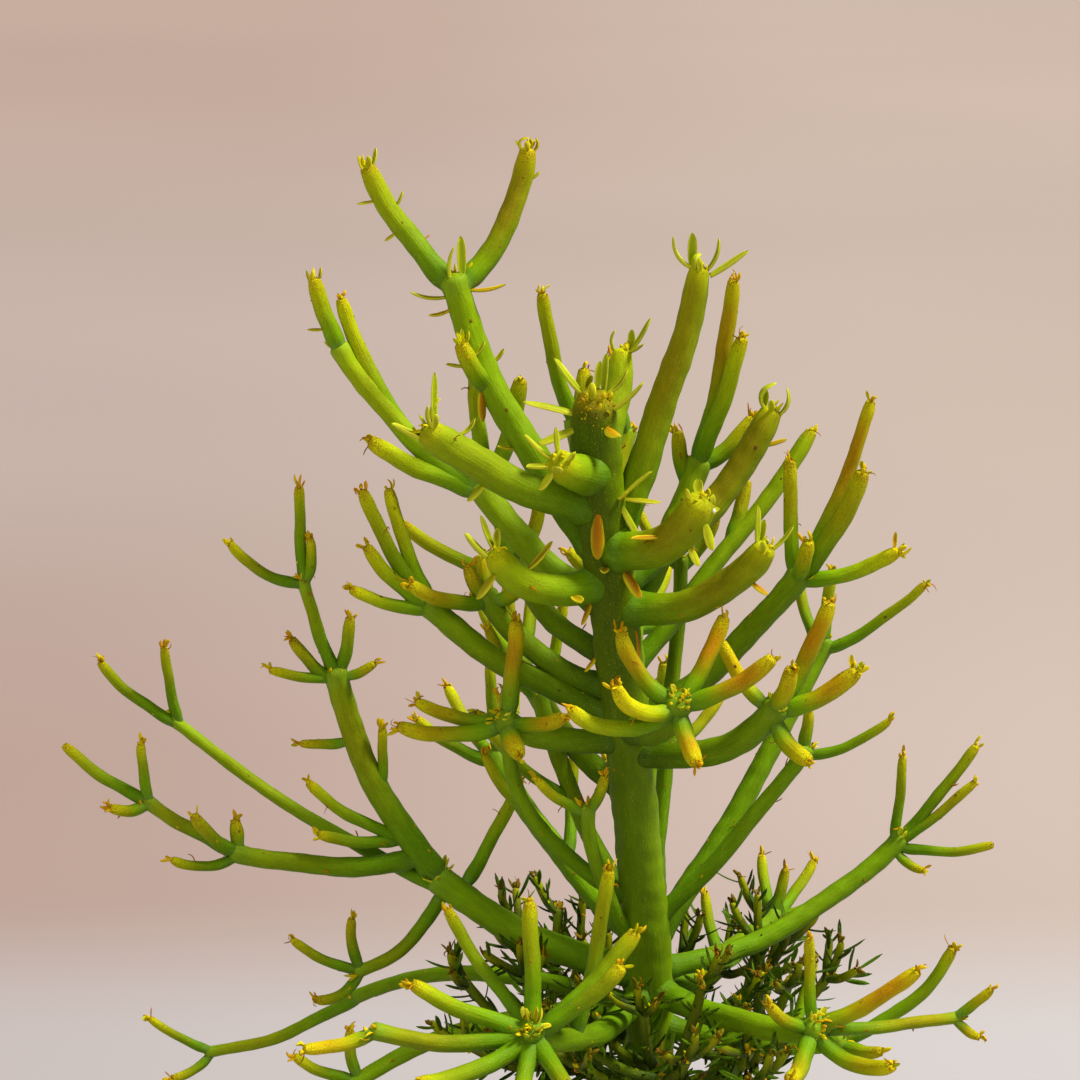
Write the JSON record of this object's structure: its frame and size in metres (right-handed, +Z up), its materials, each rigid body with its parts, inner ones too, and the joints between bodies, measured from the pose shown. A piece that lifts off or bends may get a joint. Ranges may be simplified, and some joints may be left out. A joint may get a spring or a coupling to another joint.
{
  "type": "potted pencil-stem euphorbia",
  "caption": "Upright succulent with whorled pencil-thin green stems, tiny leaves at the tips and a thick trunk, growing in a round clay pot.",
  "frame": {"origin": "middle of the pot's flat foot, on the surface it stands on", "axes": "+Z up along the trunk, -Y towards the plant's front, +X to its right as seen from the front"},
  "size_m": [0.2354, 0.1738, 0.4012],
  "materials": {
    "clay": "matte unglazed",
    "potting_mix": "loose, matte and damp",
    "trunk_skin": "waxy, slightly rough",
    "stem_skin": "waxy satin",
    "leaf_skin": "waxy satin"
  },
  "bodies": {
    "root": {"crown_back": "stem_skin", "crown_back_right": "stem_skin", "crown_far_right": "stem_skin", "crown_front_left": "stem_skin", "crown_front_right": "stem_skin", "crown_front_stub": "stem_skin", "crown_left": "stem_skin", "crown_left_back": "stem_skin", "crown_right": "stem_skin", "crown_right_back": "stem_skin", "crown_stub_back": "stem_skin", "crown_tall_left": "stem_skin", "crown_tall_right": "stem_skin", "leaves_front_left": "leaf_skin", "leaves_front_right": "leaf_skin", "leaves_front_stub": "leaf_skin", "leaves_left": "leaf_skin", "leaves_left_back": "leaf_skin", "leaves_middle_right": "leaf_skin", "leaves_right": "leaf_skin", "leaves_right_back": "leaf_skin", "leaves_stub_back": "leaf_skin", "leaves_tall_left_top": "leaf_skin", "leaves_tall_left_twig": "leaf_skin", "leaves_tall_right": "leaf_skin", "leaves_trunk_top": "leaf_skin", "low_back": "stem_skin", "low_back_left": "stem_skin", "low_back_right": "stem_skin", "low_front": "stem_skin", "low_front_left": "stem_skin", "low_front_right": "stem_skin", "low_left": "stem_skin", "low_left_droop": "stem_skin", "low_left_hook": "stem_skin", "low_right": "stem_skin", "low_right_back": "stem_skin", "low_right_lower": "stem_skin", "low_right_slim": "stem_skin", "middle_back": "stem_skin", "middle_back_left": "stem_skin", "middle_back_right": "stem_skin", "middle_far_left": "stem_skin", "middle_front": "stem_skin", "middle_left": "stem_skin", "middle_left_lower": "stem_skin", "middle_left_upper": "stem_skin", "middle_right": "stem_skin", "middle_right_back": "stem_skin", "pot": "clay", "shoot_front": "stem_skin", "shoot_left": "stem_skin", "shoot_left_back": "stem_skin", "shoot_right": "stem_skin", "soil": "potting_mix", "trunk": "trunk_skin", "under_back": "stem_skin", "under_front": "stem_skin", "under_left": "stem_skin", "under_right": "stem_skin"}
  },
  "joints": []
}
